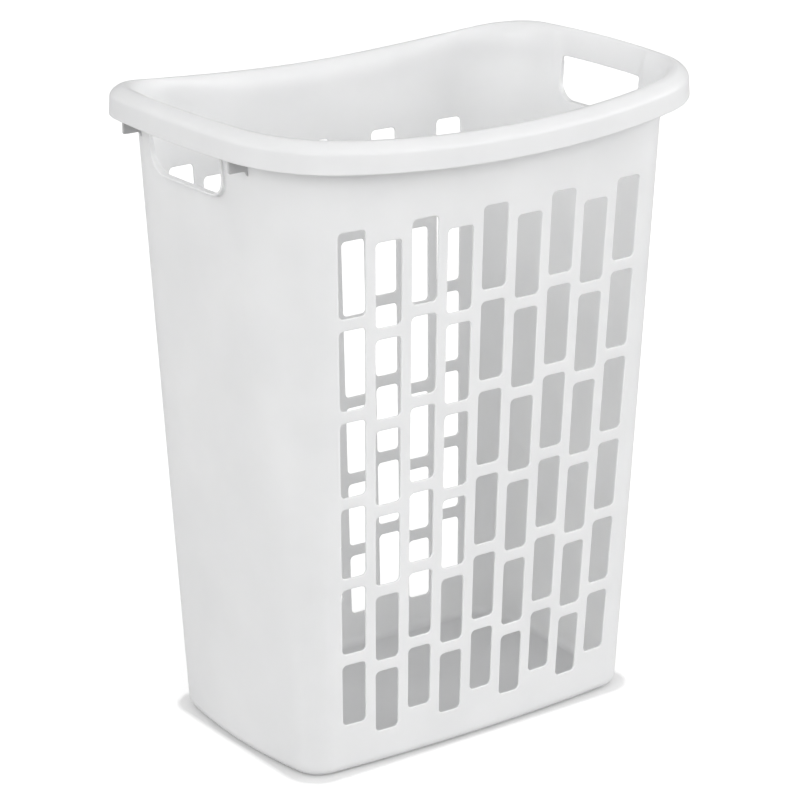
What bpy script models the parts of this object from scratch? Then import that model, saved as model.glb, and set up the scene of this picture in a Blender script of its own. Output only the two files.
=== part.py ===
"""Tall open laundry hamper: a tapered rectangular basket with vented front and back walls,
two hand holes and a saddle-shaped rolled rim.

+Z is up, X runs along the long side from grip to grip, the front faces -Y, and the origin is
the middle of the underside.  The real hamper is one moulding; each region of it is a solid here.
Everything is built for the quarter x > 0, y < 0 and mirrored to the others.
"""
import math

import bmesh
import bpy
from mathutils import Matrix, Vector

# ---------------------------------------------------------------- driving dimensions (metres)
GAP = 0.0003                    # clearance between touching regions
WALL = 0.0023                   # moulded wall thickness
FULL_HEIGHT = 0.6083            # floor to the crest of the rim at the grips

# plan of the tapered body: a size at the ground and its growth per metre of height
BODY_HALF_LENGTH = (0.1918, 0.0631)
BODY_HALF_DEPTH = (0.1179, 0.0404)
BODY_CORNER = (0.0288, 0.0815)
BODY_FRONT_BOW = (0.0098, -0.0093)
BODY_END_BOW = (0.0075, -0.0107)
BODY_BOW_POWER = 2.0

# rolled rim: plan of its outer lip, its saddle line and its section
RIM_HALF_LENGTH = 0.2502
RIM_HALF_DEPTH = 0.1650
RIM_CORNER = 0.0723
RIM_FRONT_BOW = 0.0290
RIM_END_BOW = 0.0051
RIM_BOW_POWER = 3.0
SADDLE_DIP = 0.0195             # the rim's middle lies this far below its grips
SADDLE_POWER = 1.9
SKIRT_DROP = 0.0266             # crest to the skirt's lower edge, and to the top of the walls
CREST_INSET = 0.0125            # outer lip to the crest of the roll
# section points as (inset from the lip, drop from the crest)
ROLL_OUTSIDE = ((0.0, SKIRT_DROP), (0.0010, 0.0105), (0.0026, 0.0062), (0.0058, 0.0030))
ROLL_INSIDE = ((0.0066, 0.0051), (0.0035, 0.0110), (WALL, SKIRT_DROP))
FLARE_STEPS = 4                 # facets from the crest down to the wall

# floor pan with its rounded lower edge
FLOOR_THICKNESS = 0.0025
PAN_HEIGHT = 0.0100
# rounded edge as (inset from the body's outline, height)
PAN_EDGE = ((0.0080, 0.0), (0.0049, 0.0006), (0.0023, 0.0023), (0.0006, 0.0049),
            (0.0, 0.0080), (0.0, PAN_HEIGHT))

# vents of the front and back walls
VENT_COLUMNS = 9
VENT_ROWS = 6
VENT_PITCH = (0.0343, 0.0074)   # at the ground, and its growth per metre of height
VENT_WIDTH = (0.0238, 0.0078)
VENT_FIRST_HEIGHT = 0.0600      # lowest row
VENT_GROWTH = 0.0035            # each row is this much taller than the one below it
VENT_BAR = 0.0109               # bar between two rows
VENT_BOTTOM = 0.0490            # underside of the lowest vents in the odd columns
VENT_STAGGER = 0.0145           # the even columns hang this much lower
VENT_CORNER = 0.0045
VENT_CORNER_STEPS = 2
VENT_CUT = (-0.1600, -0.0950)   # the cutter runs between these depths, through the front wall

# hand holes of the end walls, open at the top, where the rim closes them
HAND_HALF_WIDTH = 0.0557
HAND_BOTTOM = 0.5405
HAND_CORNER = 0.0180
HAND_CORNER_STEPS = 4
HAND_CUT = (0.1800, 0.2600)     # the cutter runs between these distances from the middle
COLLAR_DEPTH = 0.0050           # turned-out edge round each hand hole

# stacking ribs under the rim, either side of each hand hole
RIB_OFFSET = 0.0845
RIB_REACH = 0.2419
RIB_BOTTOM = 0.5690
RIB_TOP_OUTER = 0.5900

# seams between regions, and facets
SEAM_TURN = 0.24                # the long walls take in this share of each corner arc
SEAM_INSET = 0.0060             # the end walls stop this far short of the corner arcs
SEAM_FACET = 0.0010             # narrow facet beside a seam, which keeps both its faces parallel
FRONT_STEPS = 7                 # facets along half a long side
CORNER_STEPS = 6                # facets round a corner
END_STEPS = 3                   # facets along half a short side
WALL_ROWS = 4                   # facets up a wall
ARC_PASSES = 40                 # rounds that settle each corner arc tangent to both its sides
ROUND_PROFILE = 0.5             # bevel profile of a circular arc
SAME_PLACE = 0.0001             # points nearer than this are one point

WHITE = (0.86, 0.865, 0.87, 1.0)
SATIN_ROUGHNESS = 0.38


# ---------------------------------------------------------------- plan outlines
class Outline:
    """Quarter outline: a bowed long side, a tangent corner arc and a bowed short side."""

    def __init__(self, half_length, half_depth, radius, front_bow, end_bow, power):
        self.half_length = half_length
        self.half_depth = half_depth
        self.radius = radius
        self.front_bow = front_bow
        self.end_bow = end_bow
        self.power = power
        self.solve()

    def front_slope(self, x):
        return self.front_bow * self.power * x ** (self.power - 1) / self.half_length ** self.power

    def front_y(self, x):
        return -(self.half_depth - self.front_bow * (x / self.half_length) ** self.power)

    def solve(self):
        """Place the corner arc so that it is tangent to both bowed sides."""
        radius = self.radius
        self.front_end = self.half_length - radius
        self.side_end = self.half_depth - radius
        for _ in range(ARC_PASSES):
            self.start = math.atan(self.front_slope(self.front_end)) - math.pi / 2
            self.stop = -math.atan(2 * self.end_bow / self.side_end)
            self.centre_x = self.half_length - self.end_bow - radius * math.cos(self.stop)
            self.front_end = self.centre_x + radius * math.cos(self.start)
            self.centre_y = self.front_y(self.front_end) - radius * math.sin(self.start)
            self.side_end = -(self.centre_y + radius * math.sin(self.stop))

    def front(self, x):
        """Point and outward direction on the long side."""
        return Vector((x, self.front_y(x))), Vector((self.front_slope(x), -1.0)).normalized()

    def corner(self, t):
        angle = self.start + t * (self.stop - self.start)
        out = Vector((math.cos(angle), math.sin(angle)))
        return Vector((self.centre_x, self.centre_y)) + out * self.radius, out

    def side(self, y):
        bow = self.end_bow / self.side_end ** 2
        out = Vector((1.0, 2 * bow * y)).normalized()
        return Vector((self.half_length - bow * y * y, y)), out

    def side_x(self, y):
        """X of the outline at this y, on the short side or the corner arc."""
        if abs(y) <= self.side_end:
            return self.side(y)[0].x
        rise = abs(y) - abs(self.centre_y)
        return self.centre_x + math.sqrt(self.radius ** 2 - rise ** 2)

    def at(self, stretch, t, shift=0.0):
        """Station t of a stretch; shift moves it along the outline, towards the grip."""
        if stretch == "front":
            point, out = self.front(t * self.front_end)
        elif stretch == "corner":
            point, out = self.corner(t)
        else:
            point, out = self.side((SEAM_INSET - self.side_end) * (1 - t))
        return point + Vector((-out.y, out.x)) * shift, out


def grown(size, z):
    return size[0] + size[1] * z


def body_outline(z):
    """Outer face of the tapered body at height z."""
    return Outline(grown(BODY_HALF_LENGTH, z), grown(BODY_HALF_DEPTH, z), grown(BODY_CORNER, z),
                   grown(BODY_FRONT_BOW, z), grown(BODY_END_BOW, z), BODY_BOW_POWER)


LIP = Outline(RIM_HALF_LENGTH, RIM_HALF_DEPTH, RIM_CORNER, RIM_FRONT_BOW, RIM_END_BOW,
              RIM_BOW_POWER)


def crest_height(x):
    """Height of the saddle-shaped crest over a point of the lip."""
    along = min(abs(x) / RIM_HALF_LENGTH, 1.0)
    return FULL_HEIGHT - SADDLE_DIP * (1 - along ** SADDLE_POWER)


def even_steps(stretch, first, last, count):
    return [(stretch, first + (last - first) * i / count, 0.0) for i in range(count + 1)]


def stations(region):
    """(stretch, t, shift) along one region of the quarter, seam gaps included."""
    half = GAP / 2
    if region == "front":
        flat = even_steps("front", 0, 1, FRONT_STEPS)
        return flat + [("corner", SEAM_TURN / 2, 0.0), ("corner", SEAM_TURN, -SEAM_FACET),
                       ("corner", SEAM_TURN, -half)]
    if region == "corner":
        seam = [("corner", SEAM_TURN, half), ("corner", SEAM_TURN, SEAM_FACET)]
        arc = even_steps("corner", SEAM_TURN, 1, CORNER_STEPS)[1:]
        return seam + arc + [("side", 0.0, -half)]
    return [("side", 0.0, half)] + even_steps("side", 0, 1, END_STEPS)[1:]


def ring_stations():
    """The whole quarter without seams."""
    return (even_steps("front", 0, 1, FRONT_STEPS) + even_steps("corner", 0, 1, CORNER_STEPS)[1:]
            + even_steps("side", 0, 1, END_STEPS))


def wall_top(station):
    """Height at which the walls meet the rim's inner leg."""
    lip_point, _ = LIP.at(*station)
    return crest_height(lip_point.x) - SKIRT_DROP


# ---------------------------------------------------------------- scene helpers
def clear_scene():
    for old in list(bpy.data.objects):
        bpy.data.objects.remove(old, do_unlink=True)


def new_collection(name):
    collection = bpy.data.collections.new(name)
    bpy.context.scene.collection.children.link(collection)
    return collection


def plastic(name):
    material = bpy.data.materials.new(name)
    material.use_nodes = True
    shader = material.node_tree.nodes["Principled BSDF"]
    shader.inputs["Base Color"].default_value = WHITE
    shader.inputs["Roughness"].default_value = SATIN_ROUGHNESS
    shader.inputs["Metallic"].default_value = 0.0
    return material


def add_part(name, mesh):
    """One region of the moulding, with its own material."""
    part = bpy.data.objects.new(name, mesh)
    mesh.name = name
    mesh.materials.clear()
    mesh.materials.append(plastic(name))
    parts.objects.link(part)
    return part


def add_cutter(name, mesh):
    cutter = bpy.data.objects.new(name, mesh)
    cutter.hide_render = True
    cutter.display_type = "WIRE"
    cutters.objects.link(cutter)
    return cutter


def mesh_from(bm, name):
    bmesh.ops.recalc_face_normals(bm, faces=bm.faces)
    mesh = bpy.data.meshes.new(name)
    bm.to_mesh(mesh)
    bm.free()
    return mesh


def add_grid(bm, rows, closed=False):
    """Quads between rows of points; closed joins each row's last point to its first."""
    grid = [[bm.verts.new(point) for point in row] for row in rows]
    count = len(grid[0])
    for lower, upper in zip(grid, grid[1:]):
        for i in range(count if closed else count - 1):
            j = (i + 1) % count
            bm.faces.new((lower[i], lower[j], upper[j], upper[i]))
    return grid


def add_mirror(part, x=False, y=False):
    mirror = part.modifiers.new("Mirror", "MIRROR")
    mirror.use_axis = (x, y, False)
    mirror.merge_threshold = SAME_PLACE


def add_solidify(part, thickness, offset=-1.0):
    solidify = part.modifiers.new("Solidify", "SOLIDIFY")
    solidify.thickness = thickness
    solidify.offset = offset


def add_cut(part, cutter):
    cut = part.modifiers.new("Boolean", "BOOLEAN")
    cut.operation = "DIFFERENCE"
    cut.solver = "EXACT"
    cut.object = cutter


def add_triangles(part):
    """Fixed triangles, so that a reflected copy has the same facets."""
    part.modifiers.new("Triangulate", "TRIANGULATE")


def add_reflection(source, name, x=False, y=False):
    """A mirror-image copy of a finished region."""
    graph = bpy.context.evaluated_depsgraph_get()
    mesh = bpy.data.meshes.new_from_object(source.evaluated_get(graph))
    mesh.transform(Matrix.Diagonal((-1 if x else 1, -1 if y else 1, 1, 1)))
    if x != y:
        mesh.flip_normals()
    return add_part(name, mesh)


# ---------------------------------------------------------------- walls and floor
def wall_skin(region, name):
    """Outer face of one wall region, from the pan's edge up to the saddle line."""
    bottom = PAN_HEIGHT + GAP
    rows = []
    for i in range(WALL_ROWS + 1):
        row = []
        for station in stations(region):
            z = bottom + (wall_top(station) - GAP - bottom) * i / WALL_ROWS
            point, _ = body_outline(z).at(*station)
            row.append((point.x, point.y, z))
        rows.append(row)
    bm = bmesh.new()
    add_grid(bm, rows)
    mesh = bpy.data.meshes.new(name)
    bm.to_mesh(mesh)
    bm.free()
    return mesh


def vent_cutter():
    """All the vents of the front wall, as rounded prisms along Y."""
    bm = bmesh.new()
    near, far = VENT_CUT
    for column in range(VENT_COLUMNS):
        place = column - (VENT_COLUMNS - 1) / 2
        bottom = VENT_BOTTOM - (VENT_STAGGER if column % 2 else 0.0)
        for row in range(VENT_ROWS):
            top = bottom + VENT_FIRST_HEIGHT + VENT_GROWTH * row
            add_vent(bm, place, bottom, top, near, far)
            bottom = top + VENT_BAR
    return add_cutter("vents", mesh_from(bm, "vents"))


def add_vent(bm, place, bottom, top, near, far):
    verts = bmesh.ops.create_cube(bm, size=1.0)["verts"]
    for vert in verts:
        z = top if vert.co.z > 0 else bottom
        half_width = grown(VENT_WIDTH, z) / 2
        x = grown(VENT_PITCH, z) * place + math.copysign(half_width, vert.co.x)
        vert.co = (x, far if vert.co.y > 0 else near, z)
    along_y = [edge for edge in {e for v in verts for e in v.link_edges}
               if abs(edge.verts[0].co.y - edge.verts[1].co.y) > SAME_PLACE]
    bmesh.ops.bevel(bm, geom=along_y, offset=VENT_CORNER, segments=VENT_CORNER_STEPS,
                    profile=ROUND_PROFILE, affect="EDGES")


def build_vented_walls():
    front = add_part("front_vent_wall", wall_skin("front", "front_vent_wall"))
    add_mirror(front, x=True)
    add_solidify(front, WALL)
    add_cut(front, vent_cutter())
    add_triangles(front)
    add_reflection(front, "back_vent_wall", y=True)


def hand_hole_cutter():
    """Notch through the right end wall, rounded at its lower corners."""
    bm = bmesh.new()
    near, far = HAND_CUT
    for vert in bmesh.ops.create_cube(bm, size=1.0)["verts"]:
        vert.co = (far if vert.co.x > 0 else near,
                   math.copysign(HAND_HALF_WIDTH, vert.co.y),
                   FULL_HEIGHT if vert.co.z > 0 else HAND_BOTTOM)
    lower = [edge for edge in bm.edges
             if max(vert.co.z for vert in edge.verts) < HAND_BOTTOM + SAME_PLACE
             and abs(edge.verts[0].co.x - edge.verts[1].co.x) > SAME_PLACE]
    bmesh.ops.bevel(bm, geom=lower, offset=HAND_CORNER, segments=HAND_CORNER_STEPS,
                    profile=ROUND_PROFILE, affect="EDGES")
    return add_cutter("hand_hole", mesh_from(bm, "hand_hole"))


def build_end_walls():
    right = add_part("right_end_wall", wall_skin("end", "right_end_wall"))
    add_mirror(right, y=True)
    add_solidify(right, WALL)
    add_cut(right, hand_hole_cutter())
    add_triangles(right)
    add_reflection(right, "left_end_wall", x=True)


def build_corner_walls():
    corner = add_part("corner_wall_front_right", wall_skin("corner", "corner_wall"))
    add_solidify(corner, WALL)
    add_triangles(corner)
    add_reflection(corner, "corner_wall_front_left", x=True)
    add_reflection(corner, "corner_wall_back_right", y=True)
    add_reflection(corner, "corner_wall_back_left", x=True, y=True)


def build_floor_pan():
    """Flat floor turned up round its edge to meet the walls."""
    rows = []
    for inset, z in PAN_EDGE:
        outline = body_outline(z)
        row = []
        for station in ring_stations():
            point, out = outline.at(*station)
            point = point - out * inset
            row.append((point.x, point.y, z))
        rows.append(row)
    bm = bmesh.new()
    grid = add_grid(bm, rows)
    bm.faces.new([bm.verts.new((0, 0, 0))] + grid[0][::-1])
    mesh = bpy.data.meshes.new("floor_pan")
    bm.to_mesh(mesh)
    bm.free()
    pan = add_part("floor_pan", mesh)
    add_mirror(pan, x=True, y=True)
    add_solidify(pan, FLOOR_THICKNESS)


# ---------------------------------------------------------------- rim
def curve_between(first, control, last, steps):
    """Inner points of a quadratic curve from first to last."""
    points = []
    for i in range(1, steps):
        t = i / steps
        points.append(first * (1 - t) ** 2 + control * (2 * t * (1 - t)) + last * t ** 2)
    return points


def rim_section(station):
    """Closed section: skirt, roll and inner leg, which lands on the wall below it."""
    lip_point, lip_out = LIP.at(*station)
    crest = crest_height(lip_point.x)
    leg_z = crest - SKIRT_DROP
    wall_point, wall_out = body_outline(leg_z).at(*station)
    wall_inner = wall_point - wall_out * WALL

    def on_roll(inset, drop):
        point = lip_point - lip_out * inset
        return Vector((point.x, point.y, crest - drop))

    outer_crest = on_roll(CREST_INSET, 0.0)
    inner_crest = on_roll(CREST_INSET, WALL)
    leg_inner = Vector((wall_inner.x, wall_inner.y, leg_z))
    leg_outer = Vector((wall_point.x, wall_point.y, leg_z))
    shoulder = Vector((wall_inner.x, wall_inner.y, crest))
    armpit = Vector((wall_point.x, wall_point.y, crest - WALL))
    section = [on_roll(*point) for point in ROLL_OUTSIDE] + [outer_crest]
    section += curve_between(outer_crest, shoulder, leg_inner, FLARE_STEPS) + [leg_inner, leg_outer]
    section += curve_between(leg_outer, armpit, inner_crest, FLARE_STEPS) + [inner_crest]
    section += [on_roll(*point) for point in ROLL_INSIDE]
    return section[::-1]


def rim_mesh(region, name, caps):
    """Sections lofted along a region; caps lists the ends that lie on a seam."""
    bm = bmesh.new()
    grid = add_grid(bm, [rim_section(station) for station in stations(region)], closed=True)
    if "first" in caps:
        bm.faces.new(grid[0][::-1])
    if "last" in caps:
        bm.faces.new(grid[-1])
    mesh = bpy.data.meshes.new(name)
    bm.to_mesh(mesh)
    bm.free()
    return mesh


def build_rim():
    front = add_part("rim_front", rim_mesh("front", "rim_front", ("last",)))
    add_mirror(front, x=True)
    add_triangles(front)
    add_reflection(front, "rim_back", y=True)
    grip = add_part("rim_grip_right", rim_mesh("end", "rim_grip_right", ("first",)))
    add_mirror(grip, y=True)
    add_triangles(grip)
    add_reflection(grip, "rim_grip_left", x=True)
    corner = add_part("rim_corner_front_right", rim_mesh("corner", "rim_corner", ("first", "last")))
    add_triangles(corner)
    add_reflection(corner, "rim_corner_front_left", x=True)
    add_reflection(corner, "rim_corner_back_right", y=True)
    add_reflection(corner, "rim_corner_back_left", x=True, y=True)


# ---------------------------------------------------------------- hand hole edges and ribs
def end_face(y, z):
    """X of the end wall's outer face."""
    return body_outline(z).side_x(y)


def build_hand_hole_collars():
    """Edge of each hand hole turned outward: a U-shaped strip standing on the end wall."""
    top = FULL_HEIGHT - SKIRT_DROP - GAP
    half = [(HAND_HALF_WIDTH, top), (HAND_HALF_WIDTH, HAND_BOTTOM + HAND_CORNER)]
    for i in range(1, HAND_CORNER_STEPS + 1):
        angle = i / HAND_CORNER_STEPS * math.pi / 2
        half.append((HAND_HALF_WIDTH - HAND_CORNER * (1 - math.cos(angle)),
                     HAND_BOTTOM + HAND_CORNER * (1 - math.sin(angle))))
    flat = HAND_HALF_WIDTH - HAND_CORNER
    half += [(flat / 2, HAND_BOTTOM), (0.0, HAND_BOTTOM)]
    near = [(end_face(y, z) + GAP, y, z) for y, z in half]
    far = [(end_face(y, z) + COLLAR_DEPTH, y, z) for y, z in half]
    bm = bmesh.new()
    add_grid(bm, (near, far))
    mesh = bpy.data.meshes.new("collar")
    bm.to_mesh(mesh)
    bm.free()
    right = add_part("hand_hole_collar_right", mesh)
    add_mirror(right, y=True)
    add_solidify(right, WALL)
    add_triangles(right)
    add_reflection(right, "hand_hole_collar_left", x=True)


def rib_mesh(y):
    """Upright plate from the end wall out under the rim."""
    bm = bmesh.new()
    top = FULL_HEIGHT - SKIRT_DROP - GAP
    for vert in bmesh.ops.create_cube(bm, size=1.0)["verts"]:
        outer, high = vert.co.x > 0, vert.co.z > 0
        across = y + math.copysign(WALL / 2, vert.co.y)
        z = (RIB_TOP_OUTER if outer else top) if high else RIB_BOTTOM
        vert.co = (RIB_REACH if outer else end_face(across, z) + GAP, across, z)
    return mesh_from(bm, "stacking_rib")


def build_stacking_ribs():
    for place, y in (("front", -RIB_OFFSET), ("back", RIB_OFFSET)):
        rib = add_part(f"stacking_rib_{place}_right", rib_mesh(y))
        add_reflection(rib, f"stacking_rib_{place}_left", x=True)


clear_scene()
parts = new_collection("laundry_hamper")
cutters = new_collection("cutters")
build_floor_pan()
build_vented_walls()
build_end_walls()
build_corner_walls()
build_rim()
build_hand_hole_collars()
build_stacking_ribs()
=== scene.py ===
"""Looks of the tall vented laundry hamper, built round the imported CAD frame.

The hamper is one white polypropylene moulding.  Its visual body is a single closed shell that
replaces the CAD regions, with four separate ribs under the rim.  Everything is in metres, in the
CAD frame: +Z up, X from grip to grip, front towards -Y, origin in the middle of the underside.
A pair of numbers for a size, such as BODY_HALF_LENGTH, is its value at the ground and its growth
per metre of height.
"""
import functools
import math

import bmesh
import bpy
from mathutils import Matrix, Vector
from mathutils.geometry import delaunay_2d_cdt


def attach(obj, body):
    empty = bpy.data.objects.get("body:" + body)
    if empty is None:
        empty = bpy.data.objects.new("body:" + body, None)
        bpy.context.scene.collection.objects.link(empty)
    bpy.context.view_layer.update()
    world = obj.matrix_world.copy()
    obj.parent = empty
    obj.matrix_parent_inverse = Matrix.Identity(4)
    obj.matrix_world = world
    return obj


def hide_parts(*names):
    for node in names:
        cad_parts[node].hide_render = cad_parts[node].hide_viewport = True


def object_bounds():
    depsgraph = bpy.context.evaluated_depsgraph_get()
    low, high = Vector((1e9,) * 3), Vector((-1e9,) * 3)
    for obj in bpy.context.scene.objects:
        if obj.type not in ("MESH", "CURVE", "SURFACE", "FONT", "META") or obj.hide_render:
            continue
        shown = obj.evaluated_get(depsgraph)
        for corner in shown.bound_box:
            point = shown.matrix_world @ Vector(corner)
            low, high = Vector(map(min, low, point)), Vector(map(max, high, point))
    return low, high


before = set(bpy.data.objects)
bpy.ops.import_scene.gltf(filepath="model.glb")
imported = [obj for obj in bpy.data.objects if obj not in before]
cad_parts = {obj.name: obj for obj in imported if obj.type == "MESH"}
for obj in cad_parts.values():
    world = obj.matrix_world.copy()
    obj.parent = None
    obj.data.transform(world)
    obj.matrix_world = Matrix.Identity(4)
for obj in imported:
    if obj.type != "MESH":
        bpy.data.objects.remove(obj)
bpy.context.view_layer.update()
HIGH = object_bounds()[1]

# ---------------------------------------------------------------- shape, as in the CAD
WALL = 0.0023
FULL_HEIGHT = HIGH[2]
BODY_HALF_LENGTH = (0.1918, 0.0631)
BODY_HALF_DEPTH = (0.1179, 0.0404)
BODY_CORNER = (0.0288, 0.0815)
BODY_FRONT_BOW = (0.0098, -0.0093)
BODY_END_BOW = (0.0075, -0.0107)
BODY_BOW_POWER = 2.0

RIM_HALF_LENGTH = HIGH[0]
RIM_HALF_DEPTH = HIGH[1]
RIM_CORNER = 0.0723
RIM_FRONT_BOW = 0.0290
RIM_END_BOW = 0.0051
RIM_BOW_POWER = 3.0
SADDLE_DIP = 0.0195
SADDLE_POWER = 1.9
SKIRT_DROP = 0.0266
# rolled edge as (inset from the lip, drop from the crest)
SKIRT_TOP = (0.0010, 0.0105)
SHOULDER_PULL = (0.00126, 0.00624)
SHOULDER_END = (0.0058, 0.0030)
CREST_PULL = (0.0098, 0.0)
CREST = (0.0125, 0.0)

VENT_COLUMNS = 9
VENT_ROWS = 6
VENT_PITCH = (0.0343, 0.0074)
VENT_WIDTH = (0.0238, 0.0078)
VENT_FIRST_HEIGHT = 0.0600
VENT_GROWTH = 0.0035
VENT_BAR = 0.0109
VENT_BOTTOM = 0.0490
VENT_STAGGER = 0.0145
VENT_CORNER = 0.0045

HAND_HALF_WIDTH = 0.0557
HAND_BOTTOM = 0.5405
HAND_CORNER = 0.0180
HAND_TOP_CORNER = 0.0030
COLLAR_DEPTH = 0.0055

RIB_OFFSET = 0.0845
RIB_REACH = 0.2419
RIB_BOTTOM = 0.5690
RIB_CORNER = 0.0015
RIB_FILLET = 0.0040             # at the foot of a rib, where it meets the wall
RIB_FOOT = 0.0060               # the wall's face beside a rib is taken this far below the leg
RIB_BEVEL = 0.0004
LEVEL_OF_RIB_TOP = 0.5960       # the ribs run up inside the flare to this level
RIB_SHOULDER = 0.0030           # the outer top corner is this much lower, inside the rolled edge

# ---------------------------------------------------------------- finer shape, seen only here
EDGE_ROUND = 0.0007             # rounded edges of the vents
HAND_EDGE_ROUND = 0.0010
COLLAR_FILLET = 0.0015
COLLAR_END = (0.0080, 0.0010)   # the collar runs out between these distances below the leg
BASE_ROUND = 0.0100
FLOOR_TOP = 0.0025
FLOOR_FILLET = 0.0078
ABOVE_FOOT = (0.012, 0.020)     # levels of the two rows of faces above the rounded foot
RECESS_DEPTH = 0.0050           # the wall over a hand hole stands this far out
RECESS_START = 0.5350
RECESS_EDGE = (0.0500, 0.0658)  # it comes back to the wall between these distances from the middle

# a height on the shell: metres up to LEVEL, a share of the way to the rim's leg up to LEG,
# then a share of the way round the flare up to CROWN
LEVEL = 0.5300
LEG = 0.5817
CROWN = 0.6117
FLARE_ROWS = 12
PATCH_LOW = 0.0300              # the vented patch starts here and ends at LEVEL
VENT_PATCH = (0.011, 0.155)     # spacing of its points, and width of half a front on its plan
HAND_PATCH = (0.0035, 0.066)    # the same for the patch with a hand hole
END_PATCH_ROW = 25              # the row at which the patch with the hand hole starts
WALL_ROWS = 26
LEG_ROWS = 5
FRONT_STATIONS = [i / 20 for i in range(21)]
CORNER_STATIONS = [i / 16 for i in range(17)]
VENTED_CORNER = 3               # the vented patch takes in this many steps of each corner
CORNER_SHARE = 0.5              # length of a corner beside half a long side, in the patch
SIDE_STATIONS = (0.0, 0.15, 0.30, 0.45, 0.60, 0.72, 0.80, 0.845, 0.87, 0.895, 0.92, 0.945,
                 0.97, 1.0)

# ---------------------------------------------------------------- looks
PLASTIC_DARK = (0.785, 0.788, 0.792)
PLASTIC_LIGHT = (0.820, 0.822, 0.825)
RIB_PAINTED_SHADE = 0.7                  # painted shade: the ribs' colour is darkened to this share of the body's, for the deep shade under the rim
SHEEN_OF_BODY = (0.34, 0.46)    # least and greatest roughness
SHEEN_OF_RIBS = (0.36, 0.48)
# noises as (scale, detail), and bumps as (strength, distance)
CLOUDING = (14.0, 3.0)
UNEVEN_SHEEN = (45.0, 4.0)
SINK_MARKS = (9.0, 1.0)
SINK_BUMP = (0.35, 0.0012)
GRAIN = (1400.0, 2.0)
GRAIN_BUMP = (0.12, 0.0001)
FLOOR_MOTTLE = (3.0, 2.0)
SHEET_HALF_WIDTH = 40.0
FLOOR_SEEN = (0.93, 0.30)       # how light the floor is, and its glow
FLOOR_BELOW = (0.50, 0.0)
PAINTED_FOOT_SHADOW = (-0.002, 0.006)    # painted contact shadow: the floor's glow sets in between these distances from the foot
DARK_CARD = (0.03, 0.0)
CARD_SCALE = (0.10, 0.06, 1.0)
CARD_DISTANCE = 3.0             # of the dark card behind the hamper
CARD_SIDE = (0.59, 0.81)        # on this side of it, away from the camera
WORLD_LEVEL = (1.21, 0.53)      # brightness of the surroundings at the horizon and overhead
# name, direction of the light, softness and strength
SUNS = (("front", (0.10, 0.95, -0.42), 28, 0.39),
        ("left", (0.90, 0.20, -0.34), 30, 0.65),
        ("right", (-0.80, 0.60, -0.28), 30, 0.74))
CAMERA_PLACE = (-1.5618, -2.1391, 1.2195)
CAMERA_TOWARDS = (0.55595, 0.76329, -0.32911)
CAMERA_ROLL = -0.106            # degrees
CAMERA_LENS = 135.94            # millimetres, on a sensor 36 mm wide


# ---------------------------------------------------------------- plan outlines
class Outline:
    """Quarter outline for x > 0, y < 0: bowed long side, tangent corner arc, bowed short side."""

    def __init__(self, half_length, half_depth, radius, front_bow, end_bow, power):
        self.half_length = half_length
        self.half_depth = half_depth
        self.radius = radius
        self.front_bow = front_bow
        self.end_bow = end_bow
        self.power = power
        self.front_end = half_length - radius
        self.side_end = half_depth - radius
        for _ in range(40):
            self.settle()

    def front_slope(self, x):
        return self.front_bow * self.power * x ** (self.power - 1) / self.half_length ** self.power

    def front_y(self, x):
        return -(self.half_depth - self.front_bow * (x / self.half_length) ** self.power)

    def settle(self):
        """One step towards a corner arc that is tangent to both sides."""
        radius = self.radius
        self.start = math.atan(self.front_slope(self.front_end)) - math.pi / 2
        self.stop = -math.atan(2 * self.end_bow / self.side_end)
        self.centre_x = self.half_length - self.end_bow - radius * math.cos(self.stop)
        self.front_end = self.centre_x + radius * math.cos(self.start)
        self.centre_y = self.front_y(self.front_end) - radius * math.sin(self.start)
        self.side_end = -(self.centre_y + radius * math.sin(self.stop))

    def at(self, stretch, t):
        """Point and outward direction.  t runs -1..1 along the front and the side, 0..1 round
        the corner; on the side, -1 is the end next to the corner."""
        if stretch == "front":
            x = abs(t) * self.front_end
            sign = -1.0 if t < 0 else 1.0
            out = Vector((sign * self.front_slope(x), -1.0)).normalized()
            return Vector((sign * x, self.front_y(x))), out
        if stretch == "corner":
            angle = self.start + t * (self.stop - self.start)
            out = Vector((math.cos(angle), math.sin(angle)))
            return Vector((self.centre_x, self.centre_y)) + out * self.radius, out
        y = t * self.side_end
        bow = self.end_bow / self.side_end ** 2
        return (Vector((self.half_length - bow * y * y, y)),
                Vector((1.0, 2 * bow * y)).normalized())


def grown(size, z):
    return size[0] + size[1] * z


@functools.lru_cache(maxsize=None)
def body_outline(z):
    return Outline(grown(BODY_HALF_LENGTH, z), grown(BODY_HALF_DEPTH, z), grown(BODY_CORNER, z),
                   grown(BODY_FRONT_BOW, z), grown(BODY_END_BOW, z), BODY_BOW_POWER)


LIP = Outline(RIM_HALF_LENGTH, RIM_HALF_DEPTH, RIM_CORNER, RIM_FRONT_BOW, RIM_END_BOW,
              RIM_BOW_POWER)


def crest_height(x):
    along = min(abs(x) / RIM_HALF_LENGTH, 1.0)
    return FULL_HEIGHT - SADDLE_DIP * (1 - along ** SADDLE_POWER)


def smooth(x):
    x = min(max(x, 0.0), 1.0)
    return x * x * (3 - 2 * x)


def mix(a, b, share):
    return a * (1 - share) + b * share


def arc_curve(first, control, last, t):
    return first * (1 - t) ** 2 + control * (2 * t * (1 - t)) + last * t ** 2


# ---------------------------------------------------------------- the shell's two skins
def recess(y, level):
    """How far the wall over a hand hole stands out, at this place."""
    if level <= RECESS_START:
        return 0.0
    if level <= LEG:
        depth = RECESS_DEPTH * (level - RECESS_START) / (LEG - RECESS_START)
    else:
        depth = RECESS_DEPTH * (1 - ((level - LEG) / (CROWN - LEG)) ** 3)
    near, far = RECESS_EDGE
    share = min(max((far - abs(y)) / (far - near), 0.0), 1.0)
    return depth * share * (2 - share)


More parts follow.
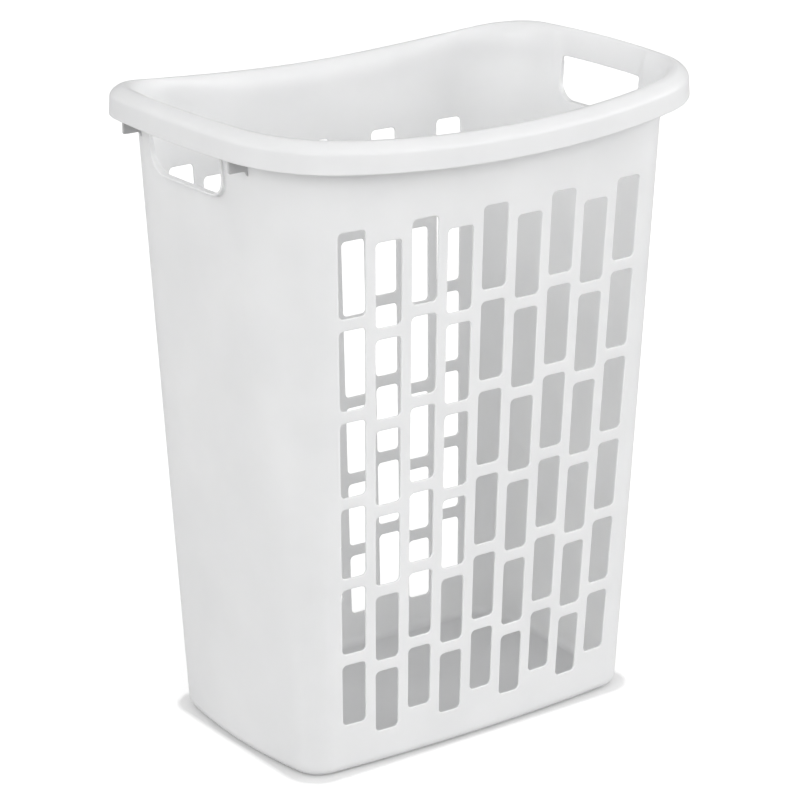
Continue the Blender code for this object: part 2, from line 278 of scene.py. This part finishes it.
def skin(stretch, t, level, depth):
    """Point on the shell: depth 0 is its outer skin, WALL its inner one, and less than 0 is
    proud of the outer skin."""
    if stretch == "wide_front":
        if abs(t) <= 1:
            return skin("front", t, level, depth)
        base = skin("corner", (abs(t) - 1) / CORNER_SHARE, level, depth)
        return Vector((math.copysign(base.x, t), base.y, base.z))
    lip_point, _ = LIP.at(stretch, t)
    crest = crest_height(lip_point.x)
    leg = crest - SKIRT_DROP
    if level <= LEVEL:
        z = level
    elif level <= LEG:
        z = mix(LEVEL, leg, (level - LEVEL) / (LEG - LEVEL))
    else:
        z = leg
    point, out = body_outline(round(z, 6)).at(stretch, t)
    if level <= LEG:
        base = Vector((point.x, point.y, z)) - Vector((out.x, out.y, 0)) * depth
    else:
        outer, inner = flare(stretch, t, point, out, leg, crest, (level - LEG) / (CROWN - LEG))
        base = mix(outer, inner, depth / WALL)
    if stretch == "side":
        proud = min(max(-depth / COLLAR_DEPTH, 0.0), 1.0)
        push = recess(base.y, level) * (1 - proud)
        base += Vector((out.x, out.y, 0)) * push
    return base


def flare(stretch, t, point, out, leg, crest, share):
    """The rim's inner face and its underside, from the leg (0) to the crown (1)."""
    lip_point, lip_out = LIP.at(stretch, t)
    crown = lip_point - lip_out * CREST[0]
    inner_point = point - out * WALL
    inner = arc_curve(Vector((*inner_point, leg)), Vector((*inner_point, crest)),
                      Vector((*crown, crest)), share)
    outer = arc_curve(Vector((*point, leg)), Vector((*point, crest - WALL)),
                      Vector((*crown, crest - WALL)), share)
    return outer, inner


def roll_profile():
    """Rolled edge from the underside of the crown, round the lip, to the crown."""
    skirt = [Vector((0, SKIRT_DROP)) * (1 - i / 5) + Vector(SKIRT_TOP) * (i / 5) for i in range(6)]
    shoulder = [arc_curve(Vector(SKIRT_TOP), Vector(SHOULDER_PULL), Vector(SHOULDER_END), i / 6)
                for i in range(1, 7)]
    top = [arc_curve(Vector(SHOULDER_END), Vector(CREST_PULL), Vector(CREST), i / 5)
           for i in range(1, 6)]
    outside = skirt + shoulder + top
    inside = []
    for i, place in enumerate(outside):
        ahead = outside[min(i + 1, len(outside) - 1)]
        behind = outside[max(i - 1, 0)]
        along = (ahead - behind).normalized()
        inside.append(place + Vector((-along.y, along.x)) * WALL)
    inside[-1] = Vector((CREST[0], WALL))
    lip_radius = WALL / 2
    across = (inside[0] - outside[0]) / 2
    down = Vector((-across.y, across.x)).normalized() * lip_radius
    middle = (inside[0] + outside[0]) / 2 - down
    lip = []
    for i in range(1, 6):
        angle = math.pi * i / 6
        lip.append(middle + across * math.cos(angle) + down * math.sin(angle))
    return inside[:0:-1] + [middle + across] + lip + [middle - across] + outside[1:]


def roll(stretch, t, profile):
    lip_point, lip_out = LIP.at(stretch, t)
    crest = crest_height(lip_point.x)
    row = []
    for place in profile:
        point = lip_point - lip_out * place.x
        row.append(Vector((point.x, point.y, crest - place.y)))
    return row


# ---------------------------------------------------------------- mesh of the shell
class Shell:
    """Collects faces; points at the same place become one vertex."""

    def __init__(self):
        self.bm = bmesh.new()
        self.known = {}

    def vert(self, x, y, z):
        key = (round(x, 7), round(y, 7), round(z, 7))
        if key not in self.known:
            self.known[key] = self.bm.verts.new((x, y, z))
        return self.known[key]

    def face(self, points, signs):
        for sign_x, sign_y in signs:
            verts = []
            for point in points:
                vert = self.vert(sign_x * point.x, sign_y * point.y, point.z)
                if vert not in verts:
                    verts.append(vert)
            if len(verts) > 2 and self.bm.faces.get(verts) is None:
                self.bm.faces.new(verts)

    def grid(self, rows, signs, closed=False):
        for lower, upper in zip(rows, rows[1:]):
            count = len(lower)
            for i in range(count if closed else count - 1):
                j = (i + 1) % count
                self.face((lower[i], lower[j], upper[j], upper[i]), signs)

    def mesh(self, name):
        bmesh.ops.remove_doubles(self.bm, verts=self.bm.verts, dist=2e-6)
        bmesh.ops.recalc_face_normals(self.bm, faces=self.bm.faces)
        mesh = bpy.data.meshes.new(name)
        self.bm.to_mesh(mesh)
        self.bm.free()
        for polygon in mesh.polygons:
            polygon.use_smooth = True
        return mesh


def spread(first, last, count):
    return [mix(first, last, i / count) for i in range(count + 1)]


def both_ways(stops):
    """-1..1 from stops that run 0..1."""
    return [-stop for stop in reversed(stops[1:])] + list(stops)


FRONT = ("front", both_ways(FRONT_STATIONS), ((1, 1), (1, -1)))
WIDE_FRONT = ("wide_front",
              both_ways(FRONT_STATIONS + [1 + CORNER_SHARE * t
                                          for t in CORNER_STATIONS[1:VENTED_CORNER + 1]]),
              FRONT[2])
CORNER = ("corner", CORNER_STATIONS, ((1, 1), (-1, 1), (1, -1), (-1, -1)))
CORNER_WALL = ("corner", CORNER_STATIONS[VENTED_CORNER:], CORNER[2])
SIDE = ("side", both_ways(SIDE_STATIONS), ((1, 1), (-1, 1)))
WALL_LEVELS = spread(PATCH_LOW, LEVEL, WALL_ROWS)
LEG_LEVELS = spread(LEVEL, LEG, LEG_ROWS)
FLARE_LEVELS = spread(LEG, CROWN, FLARE_ROWS)
END_PATCH_LEVELS = WALL_LEVELS[END_PATCH_ROW:] + LEG_LEVELS[1:] + FLARE_LEVELS[1:3]


def rounded_foot(inset, floor, radius):
    """(level, depth) up the rounded foot of a skin."""
    rows = []
    for i in range(7):
        angle = math.pi / 2 * i / 6
        rows.append((floor + radius * (1 - math.cos(angle)),
                     inset + radius * (1 - math.sin(angle))))
    return rows


def skin_rows(stretch, stations, rows):
    return [[skin(stretch, t, level, depth) for t in stations] for level, depth in rows]


def add_skins(shell):
    """Both skins, apart from the patches that hold the vents and the hand holes."""
    outer_foot = rounded_foot(0.0, 0.0, BASE_ROUND)
    inner_foot = rounded_foot(WALL, FLOOR_TOP, FLOOR_FILLET)
    for foot, depth in ((outer_foot, 0.0), (inner_foot, WALL)):
        below = foot + [(level, depth) for level in (*ABOVE_FOOT, PATCH_LOW)]
        wall = [(level, depth) for level in WALL_LEVELS]
        leg = [(level, depth) for level in LEG_LEVELS]
        rim = [(level, depth) for level in FLARE_LEVELS]
        for (stretch, stations, signs), bands in (
                (FRONT, (below, leg, rim)),
                (CORNER, (below, leg, rim)),
                (CORNER_WALL, (wall,)),
                (SIDE, (below, wall[:END_PATCH_ROW + 1], rim[2:]))):
            for band in bands:
                shell.grid(skin_rows(stretch, stations, band), signs)
    profile = roll_profile()
    for stretch, stations, signs in (FRONT, CORNER, SIDE):
        shell.grid([roll(stretch, t, profile) for t in stations], signs)


def add_floor(shell):
    quarter = [("front", t) for t in FRONT_STATIONS]
    quarter += [("corner", t) for t in CORNER_STATIONS[1:]]
    quarter += [("side", -t) for t in reversed(SIDE_STATIONS[:-1])]
    middle_shares = (1.0, 0.75, 0.5, 0.25, 0.0)
    for level, depth in (rounded_foot(0.0, 0.0, BASE_ROUND)[0],
                         rounded_foot(WALL, FLOOR_TOP, FLOOR_FILLET)[0]):
        edge = [skin(stretch, t, level, depth) for stretch, t in quarter]
        rows = [[Vector((p.x * share, p.y * share, p.z)) for p in edge]
                for share in middle_shares]
        shell.grid(rows, CORNER[2])


# ---------------------------------------------------------------- holes
def rounded_hole(corners, side_points):
    """Loop of (place, outward direction) round a hole.  corners are (across, level, radius,
    steps) anticlockwise from the lower right, and side_points the points along each side."""
    arcs = []
    for i, (across, level, radius, steps) in enumerate(corners):
        arc = []
        centre = Vector((across, level))
        for k in range(steps + 1):
            angle = (i - 1 + k / steps) * math.pi / 2
            out = Vector((math.cos(angle), math.sin(angle)))
            arc.append((centre + out * radius, out))
        arcs.append(arc)
    loop = []
    for i, arc in enumerate(arcs):
        loop += arc
        start, out = arc[-1]
        stop = arcs[(i + 1) % len(arcs)][0][0]
        count = side_points[i]
        loop += [(mix(start, stop, k / (count + 1)), out) for k in range(1, count + 1)]
    return loop


def vent_loops():
    loops = []
    for column in range(VENT_COLUMNS):
        place = column - (VENT_COLUMNS - 1) / 2
        bottom = VENT_BOTTOM - (VENT_STAGGER if column % 2 else 0.0)
        for row in range(VENT_ROWS):
            top = bottom + VENT_FIRST_HEIGHT + VENT_GROWTH * row
            corners = []
            for side, end in ((1, bottom), (1, top), (-1, top), (-1, bottom)):
                half_width = grown(VENT_WIDTH, end) / 2 - VENT_CORNER
                inward = VENT_CORNER if end == bottom else -VENT_CORNER
                corners.append((grown(VENT_PITCH, end) * place + side * half_width,
                                end + inward, VENT_CORNER, 5))
            loops.append(rounded_hole(corners, (4, 1, 4, 1)))
            bottom = top + VENT_BAR
    return loops


def hand_hole_loop():
    low = HAND_BOTTOM + HAND_CORNER
    high = LEG - HAND_TOP_CORNER
    wide = HAND_HALF_WIDTH - HAND_CORNER
    wider = HAND_HALF_WIDTH - HAND_TOP_CORNER
    corners = ((wide, low, HAND_CORNER, 10), (wider, high, HAND_TOP_CORNER, 5),
               (-wider, high, HAND_TOP_CORNER, 5), (-wide, low, HAND_CORNER, 10))
    return rounded_hole(corners, (9, 19, 9, 13))


def quarter_turn(steps):
    return [math.pi / 2 * i / steps for i in range(steps + 1)]


def vent_profile():
    """(distance out from the hole, depth) across the edge of a vent, outer skin first."""
    outer = [(EDGE_ROUND * (1 - math.sin(a)), EDGE_ROUND * (1 - math.cos(a)))
             for a in quarter_turn(3)]
    return outer + [(across, WALL - depth) for across, depth in reversed(outer)]


def hand_hole_profiles():
    """The same for a hand hole: with its turned-out collar, and plain as under the rim."""
    half = WALL / 2
    tip = -(COLLAR_DEPTH - half)
    last = [(HAND_EDGE_ROUND * (1 - math.cos(a)), WALL - HAND_EDGE_ROUND * (1 - math.sin(a)))
            for a in quarter_turn(4)]
    collar = [(WALL + COLLAR_FILLET * (1 - math.sin(a)), -COLLAR_FILLET * (1 - math.cos(a)))
              for a in quarter_turn(4)]
    collar += [(WALL, depth) for depth in spread(-COLLAR_FILLET, tip, 2)[1:]]
    collar += [(half + half * math.cos(a), tip - half * math.sin(a))
               for a in [math.pi * i / 6 for i in range(1, 7)]]
    collar += [(0.0, depth) for depth in spread(tip, last[0][1], 3)[1:-1]] + last
    flat = [(across, 0.0)
            for across in spread(WALL + COLLAR_FILLET, HAND_EDGE_ROUND, 6)]
    turn = [(HAND_EDGE_ROUND * (1 - math.sin(a)), HAND_EDGE_ROUND * (1 - math.cos(a)))
            for a in quarter_turn(6)]
    plain = flat + turn[1:] + [(0.0, depth)
                               for depth in spread(HAND_EDGE_ROUND, last[0][1], 3)[1:-1]] + last
    return collar, plain


def patch_place(stretch, across, level):
    """Share of the stretch at this distance from its middle."""
    outline = body_outline(round(min(level, LEG), 6))
    if stretch == "side":
        return across / outline.side_end
    x = abs(across)
    if x <= outline.front_end:
        return across / outline.front_end
    angle = -math.acos((x - outline.centre_x) / outline.radius)
    turn = (angle - outline.start) / (outline.stop - outline.start)
    return math.copysign(1 + CORNER_SHARE * turn, across)


def hole_points(stretch, loop, profile_at):
    """Rows of points across the edge of a hole, one row for each point of the profile."""
    columns = []
    for place, out in loop:
        column = []
        for across, depth in profile_at(place.y):
            at = place + out * across
            column.append(skin(stretch, patch_place(stretch, at.x, at.y), at.y, depth))
        columns.append(column)
    return list(zip(*columns))


def add_patch(shell, region, levels, loops, offset, depth, pitch, scale):
    """One skin of a patch of wall with holes, filled with triangles on a flat plan of it.  The
    holes' edges start offset out from their loops, and inner points are a pitch apart."""
    stretch, stations, signs = region
    reach = stations[-1] * scale
    coords, edges, owner = [], [], []

    def add_loop(points, name):
        first = len(coords)
        for point in points:
            coords.append(point)
            owner.append(name)
        count = len(points)
        edges.extend((first + i, first + (i + 1) % count) for i in range(count))

    low, high = levels[0], levels[-1]
    border = [Vector((t * scale, low)) for t in stations]
    border += [Vector((reach, level)) for level in levels[1:]]
    border += [Vector((t * scale, high)) for t in reversed(stations[:-1])]
    border += [Vector((-reach, level)) for level in reversed(levels[1:-1])]
    add_loop(border, "border")
    boxes = []
    for number, loop in enumerate(loops):
        points = []
        for place, out in loop:
            at = place + out * offset
            points.append(Vector((patch_place(stretch, at.x, at.y) * scale, at.y)))
        add_loop(points, number)
        margin = pitch / 2
        boxes.append((min(p.x for p in points) - margin, max(p.x for p in points) + margin,
                      min(p.y for p in points) - margin, max(p.y for p in points) + margin))
    columns = round(2 * reach / pitch)
    rows = round((high - low) / pitch)
    for i in range(1, columns):
        for j in range(1, rows):
            at = Vector((mix(-reach, reach, i / columns), mix(low, high, j / rows)))
            if not any(box[0] < at.x < box[1] and box[2] < at.y < box[3] for box in boxes):
                coords.append(at)
                owner.append("inside")
    _, _, triangles, sources, _, _ = delaunay_2d_cdt(coords, edges, [], 0, 1e-7)
    points = [skin(stretch, at.x / scale, at.y, depth) for at in coords]
    for triangle in triangles:
        corners = [sources[i][0] for i in triangle]
        names = {owner[i] for i in corners}
        if len(names) > 1 or names & {"border", "inside"}:
            shell.face([points[i] for i in corners], signs)


def add_vents(shell):
    loops = vent_loops()
    profile = vent_profile()
    for depth in (0.0, WALL):
        add_patch(shell, WIDE_FRONT, WALL_LEVELS, loops, EDGE_ROUND, depth, *VENT_PATCH)
    for loop in loops:
        rows = hole_points("wide_front", loop, lambda level: profile)
        shell.grid(rows, FRONT[2], closed=True)


def add_hand_holes(shell):
    loop = hand_hole_loop()
    collar, plain = hand_hole_profiles()

    def profile_at(level):
        """The collar runs out just below the rim."""
        share = smooth((level - (LEG - COLLAR_END[0])) / (COLLAR_END[0] - COLLAR_END[1]))
        return [(mix(a[0], b[0], share), mix(a[1], b[1], share)) for a, b in zip(collar, plain)]

    for offset, depth in ((collar[0][0], 0.0), (collar[-1][0], WALL)):
        add_patch(shell, SIDE, END_PATCH_LEVELS, [loop], offset, depth, *HAND_PATCH)
    shell.grid(hole_points("side", loop, profile_at), SIDE[2], closed=True)


# ---------------------------------------------------------------- ribs
def rib_outline():
    """Outline of a rib in X and Z: up inside the wall and the flare, out, and down its edge."""
    stations = [i / 200 for i in range(201)]
    t = min(stations, key=lambda t: abs(skin("corner", t, LEG, 0).y + RIB_OFFSET))
    inside = [skin("corner", t, level, WALL / 2)
              for level in spread(RIB_BOTTOM - RIB_FILLET, LEVEL_OF_RIB_TOP, 8)]
    outline = [(point.x, point.z) for point in inside]
    foot_x = skin("corner", t, LEG - RIB_FOOT, 0).x
    outline += [(RIB_REACH, outline[-1][1] - RIB_SHOULDER), (RIB_REACH, RIB_BOTTOM + RIB_CORNER)]
    for angle in quarter_turn(4)[1:]:
        outline.append((RIB_REACH - RIB_CORNER * (1 - math.cos(angle)),
                        RIB_BOTTOM + RIB_CORNER * (1 - math.sin(angle))))
    for angle in quarter_turn(5):
        outline.append((foot_x + RIB_FILLET * (1 - math.sin(angle)),
                        RIB_BOTTOM - RIB_FILLET * (1 - math.cos(angle))))
    return outline


def add_rib(name, sign_x, sign_y):
    bm = bmesh.new()
    loops = []
    for y in (RIB_OFFSET - WALL / 2, RIB_OFFSET + WALL / 2):
        loops.append([bm.verts.new((sign_x * x, sign_y * y, z)) for x, z in rib_outline()])
    count = len(loops[0])
    for i in range(count):
        j = (i + 1) % count
        bm.faces.new((loops[0][i], loops[0][j], loops[1][j], loops[1][i]))
    bm.faces.new(loops[0])
    bm.faces.new(loops[1])
    bmesh.ops.recalc_face_normals(bm, faces=bm.faces)
    mesh = bpy.data.meshes.new(name)
    bm.to_mesh(mesh)
    bm.free()
    for polygon in mesh.polygons:
        polygon.use_smooth = True
    rib = new_object(name, mesh)
    bevel = rib.modifiers.new("Bevel", "BEVEL")
    bevel.width = RIB_BEVEL
    bevel.segments = 3
    bevel.limit_method = "ANGLE"
    bevel.angle_limit = math.radians(50)
    add_weighted_normals(rib)
    return rib


# ---------------------------------------------------------------- scene objects
def new_object(name, mesh):
    made = bpy.data.objects.new(name, mesh)
    bpy.context.scene.collection.objects.link(made)
    return made


def add_weighted_normals(piece):
    weighted = piece.modifiers.new("WeightedNormal", "WEIGHTED_NORMAL")
    weighted.weight = 100
    weighted.keep_sharp = False


class Nodes:
    """Small helper for building a material's node tree."""

    def __init__(self, material):
        material.use_nodes = True
        self.tree = material.node_tree
        self.shader = self.tree.nodes["Principled BSDF"]

    def add(self, kind, **settings):
        node = self.tree.nodes.new(kind)
        for name, value in settings.items():
            setattr(node, name, value)
        return node

    def link(self, source, target):
        self.tree.links.new(source, target)

    def noise(self, place, scale, detail):
        node = self.add("ShaderNodeTexNoise")
        node.inputs["Scale"].default_value = scale
        node.inputs["Detail"].default_value = detail
        self.link(place, node.inputs["Vector"])
        return node.outputs["Fac"]

    def ramp(self, value, low, high):
        """value 0.3..0.7 mapped to low..high."""
        node = self.add("ShaderNodeMapRange")
        node.inputs["From Min"].default_value = 0.3
        node.inputs["From Max"].default_value = 0.7
        node.inputs["To Min"].default_value = low
        node.inputs["To Max"].default_value = high
        self.link(value, node.inputs["Value"])
        return node.outputs["Result"]

    def bump(self, height, strength, distance, under=None):
        node = self.add("ShaderNodeBump")
        node.inputs["Strength"].default_value = strength
        node.inputs["Distance"].default_value = distance
        self.link(height, node.inputs["Height"])
        if under is not None:
            self.link(under, node.inputs["Normal"])
        return node.outputs["Normal"]


def polypropylene(name, roughness, scatter, painted_shade_tone):
    """Satin white moulded plastic: faint clouding, fine grain and a slightly uneven sheen.
    scatter is how much of the light that it takes in passes on through the wall, and the last
    argument how far its colour is darkened as painted shade, 1.0 for none."""
    material = bpy.data.materials.new(name)
    nodes = Nodes(material)
    shader = nodes.shader
    place = nodes.add("ShaderNodeTexCoord").outputs["Object"]
    colour = nodes.add("ShaderNodeMix", data_type="RGBA")
    for socket, shade in (("A", PLASTIC_DARK), ("B", PLASTIC_LIGHT)):
        colour.inputs[socket].default_value = (*[painted_shade_tone * part for part in shade], 1.0)
    nodes.link(nodes.ramp(nodes.noise(place, *CLOUDING), 0.0, 1.0), colour.inputs["Factor"])
    nodes.link(colour.outputs["Result"], shader.inputs["Base Color"])
    low, high = roughness
    nodes.link(nodes.ramp(nodes.noise(place, *UNEVEN_SHEEN), low, high), shader.inputs["Roughness"])
    sink = nodes.bump(nodes.noise(place, *SINK_MARKS), *SINK_BUMP)
    grain = nodes.bump(nodes.noise(place, *GRAIN), *GRAIN_BUMP, sink)
    nodes.link(grain, shader.inputs["Normal"])
    shader.inputs["IOR"].default_value = 1.49
    shader.inputs["Subsurface Weight"].default_value = scatter
    shader.inputs["Subsurface Radius"].default_value = (0.0032, 0.0032, 0.0031)
    shader.inputs["Subsurface Scale"].default_value = 1.0
    return material


def build_hamper():
    shell = Shell()
    add_skins(shell)
    add_floor(shell)
    add_vents(shell)
    add_hand_holes(shell)
    body = new_object("hamper_body", shell.mesh("hamper_body"))
    add_weighted_normals(body)
    body.data.materials.append(polypropylene("white_polypropylene", SHEEN_OF_BODY, 1.0, 1.0))
    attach(body, "root")
    ribs = [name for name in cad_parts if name.startswith("stacking_rib_")]
    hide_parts(*[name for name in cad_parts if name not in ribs])
    # the ribs' colour is darkened as painted shade, for the deep shade under the rim
    rib_plastic_painted_shade = polypropylene("white_polypropylene_ribs_painted_shade", SHEEN_OF_RIBS, 0.1, RIB_PAINTED_SHADE)
    for name in ribs:
        sign_x = 1 if name.endswith("right") else -1
        sign_y = -1 if "front" in name else 1
        rib = add_rib(name + "_moulding", sign_x, sign_y)
        rib.data.materials.append(rib_plastic_painted_shade)
        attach(rib, "root")
        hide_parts(name)


def paint_shadow_near_foot(nodes, place, glow):
    """The floor's glow, gone under the hamper and along its foot: a painted contact shadow where
    the floor is in shade.
    """
    corner = BODY_CORNER[0]
    size = nodes.add("ShaderNodeVectorMath", operation="ABSOLUTE")
    past = nodes.add("ShaderNodeVectorMath", operation="SUBTRACT")
    past.inputs[1].default_value = (BODY_HALF_LENGTH[0] - corner, BODY_HALF_DEPTH[0] - corner, 0)
    outside = nodes.add("ShaderNodeVectorMath", operation="MAXIMUM")
    outside.inputs[1].default_value = (0.0, 0.0, 0.0)
    away = nodes.add("ShaderNodeVectorMath", operation="LENGTH")
    nodes.link(place, size.inputs[0])
    nodes.link(size.outputs["Vector"], past.inputs[0])
    nodes.link(past.outputs["Vector"], outside.inputs[0])
    nodes.link(outside.outputs["Vector"], away.inputs[0])
    fade = nodes.add("ShaderNodeMapRange", interpolation_type="SMOOTHSTEP")
    fade.inputs["From Min"].default_value = corner + PAINTED_FOOT_SHADOW[0]
    fade.inputs["From Max"].default_value = corner + PAINTED_FOOT_SHADOW[1]
    fade.inputs["To Min"].default_value = 0.0
    fade.inputs["To Max"].default_value = glow
    nodes.link(away.outputs["Value"], fade.inputs["Value"])
    nodes.link(fade.outputs["Result"], nodes.shader.inputs["Emission Strength"])


def add_sheet(name, z, albedo, glow):
    """One very large level sheet, with an optional glow."""
    bm = bmesh.new()
    bmesh.ops.create_grid(bm, x_segments=8, y_segments=8, size=SHEET_HALF_WIDTH)
    mesh = bpy.data.meshes.new(name)
    bm.to_mesh(mesh)
    bm.free()
    sheet = new_object(name, mesh)
    sheet.location.z = z
    material = bpy.data.materials.new(name)
    nodes = Nodes(material)
    place = nodes.add("ShaderNodeTexCoord").outputs["Object"]
    colour = nodes.add("ShaderNodeMix", data_type="RGBA")
    for socket, level in (("A", albedo - 0.01), ("B", albedo + 0.01)):
        colour.inputs[socket].default_value = (level, level, level, 1.0)
    nodes.link(nodes.noise(place, *FLOOR_MOTTLE), colour.inputs["Factor"])
    nodes.link(colour.outputs["Result"], nodes.shader.inputs["Base Color"])
    nodes.shader.inputs["Roughness"].default_value = 0.9
    nodes.shader.inputs["Emission Color"].default_value = (1.0, 1.0, 1.0, 1.0)
    nodes.shader.inputs["Emission Strength"].default_value = 0.0
    # the glow is taken away along the hamper's foot, as a painted contact shadow
    if glow > 0:
        paint_shadow_near_foot(nodes, place, glow)
    sheet.data.materials.append(material)
    return sheet


def build_stage():
    """White floor as the camera sees it, over a duller one that lights the hamper from below,
    and a dark card behind it, seen only in the sheen of its edges."""
    seen = add_sheet("studio_floor", -0.0002, *FLOOR_SEEN)
    seen.visible_diffuse = False
    seen.visible_glossy = False
    seen.visible_transmission = False
    seen.visible_shadow = False
    bounce = add_sheet("studio_bounce", -0.0006, *FLOOR_BELOW)
    bounce.visible_camera = False
    card = add_sheet("studio_dark_card", 0.0, *DARK_CARD)
    card.scale = CARD_SCALE
    card.location = (CARD_DISTANCE * CARD_SIDE[0], CARD_DISTANCE * CARD_SIDE[1], 0.0)
    card.rotation_euler = (math.pi / 2, 0.0, -math.atan2(CARD_SIDE[0], CARD_SIDE[1]))
    card.visible_camera = False
    card.visible_diffuse = False
    card.visible_transmission = False
    card.visible_shadow = False


def build_lights():
    world = bpy.data.worlds.new("studio")
    bpy.context.scene.world = world
    world.use_nodes = True
    background = world.node_tree.nodes["Background"]
    background.inputs["Color"].default_value = (1.0, 1.0, 1.0, 1.0)
    tree = world.node_tree
    sky = tree.nodes.new("ShaderNodeTexCoord").outputs["Generated"]
    parts = tree.nodes.new("ShaderNodeSeparateXYZ")
    dimming = tree.nodes.new("ShaderNodeMapRange")
    dimming.inputs["To Min"].default_value = WORLD_LEVEL[0]
    dimming.inputs["To Max"].default_value = WORLD_LEVEL[1]
    tree.links.new(sky, parts.inputs["Vector"])
    tree.links.new(parts.outputs["Z"], dimming.inputs["Value"])
    tree.links.new(dimming.outputs["Result"], background.inputs["Strength"])
    for name, direction, softness, strength in SUNS:
        add_sun(name, direction, softness, strength)


def add_sun(name, direction, softness, strength):
    """Even light from one side; softness is the angle of its disc in degrees."""
    light = bpy.data.lights.new(name, "SUN")
    light.energy = strength
    light.angle = math.radians(softness)
    made = bpy.data.objects.new(name, light)
    made.rotation_euler = Vector(direction).to_track_quat("-Z", "Y").to_euler()
    bpy.context.scene.collection.objects.link(made)


def build_camera():
    camera = bpy.data.cameras.new("camera")
    camera.sensor_width = 36.0
    camera.lens = CAMERA_LENS
    camera.clip_end = 200.0
    view = bpy.data.objects.new("camera", camera)
    turn = Vector(CAMERA_TOWARDS).to_track_quat("-Z", "Y").to_matrix().to_4x4()
    roll_turn = Matrix.Rotation(math.radians(CAMERA_ROLL), 4, "Z")
    view.matrix_world = Matrix.Translation(Vector(CAMERA_PLACE)) @ turn @ roll_turn
    bpy.context.scene.collection.objects.link(view)
    bpy.context.scene.camera = view


build_camera()
build_hamper()
build_stage()
build_lights()
bpy.context.scene.view_settings.view_transform = "Standard"
bpy.context.view_layer.update()
